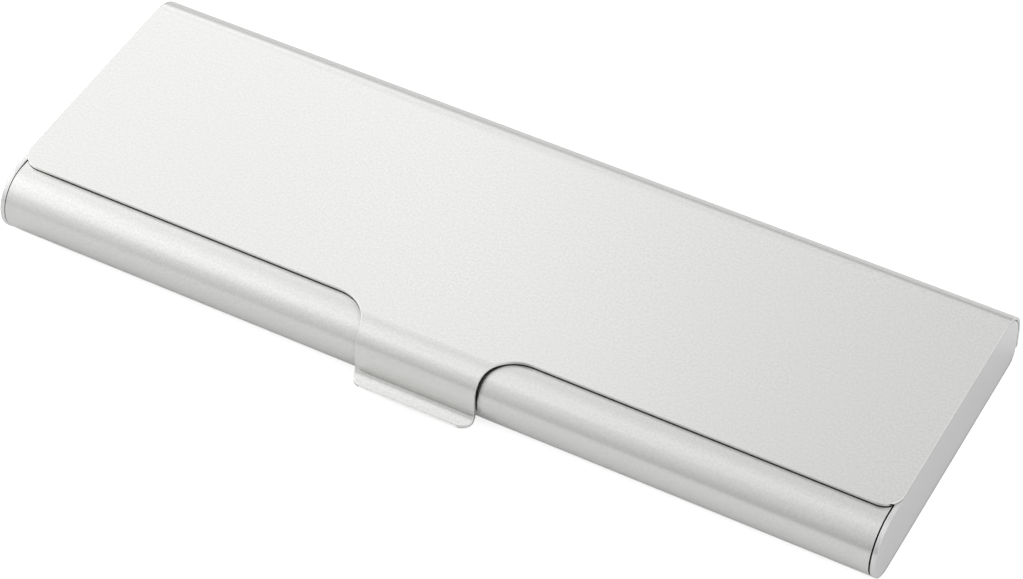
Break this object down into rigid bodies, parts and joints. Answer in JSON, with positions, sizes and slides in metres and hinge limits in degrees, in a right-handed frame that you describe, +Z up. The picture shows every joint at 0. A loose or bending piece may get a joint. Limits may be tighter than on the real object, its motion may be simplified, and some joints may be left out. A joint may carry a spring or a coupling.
{
  "type": "hinged pencil case",
  "caption": "Slim hinged pencil case folded from satin aluminium sheet, with a round nose along the front, a finger tab that wraps over it, flat end plates and a rolled knuckle hinge.",
  "frame": {"origin": "middle of the outline in X and Y, with the lip of the tab included, on the plane that the case stands on", "axes": "+X along the length of the case, -Y to the nose and the finger tab, +Z up through the lid"},
  "size_m": [0.18, 0.0664, 0.0144],
  "materials": {
    "tray_sheet": "satin anodised",
    "end_plate": "satin anodised",
    "lid_sheet": "fine blasted and anodised",
    "rod_steel": "drawn stainless steel"
  },
  "bodies": {
    "case": {"tray": "tray_sheet", "left_end_plate": "end_plate", "right_end_plate": "end_plate", "hinge_rod": "rod_steel"},
    "lid": {"lid": "lid_sheet"}
  },
  "joints": [
    {"name": "lid_hinge", "type": "hinge", "parent": "case", "child": "lid", "pos_m": [0, 0.03154, 0.00165], "axis": [-1, 0, 0], "range_deg": [0, 90]}
  ]
}
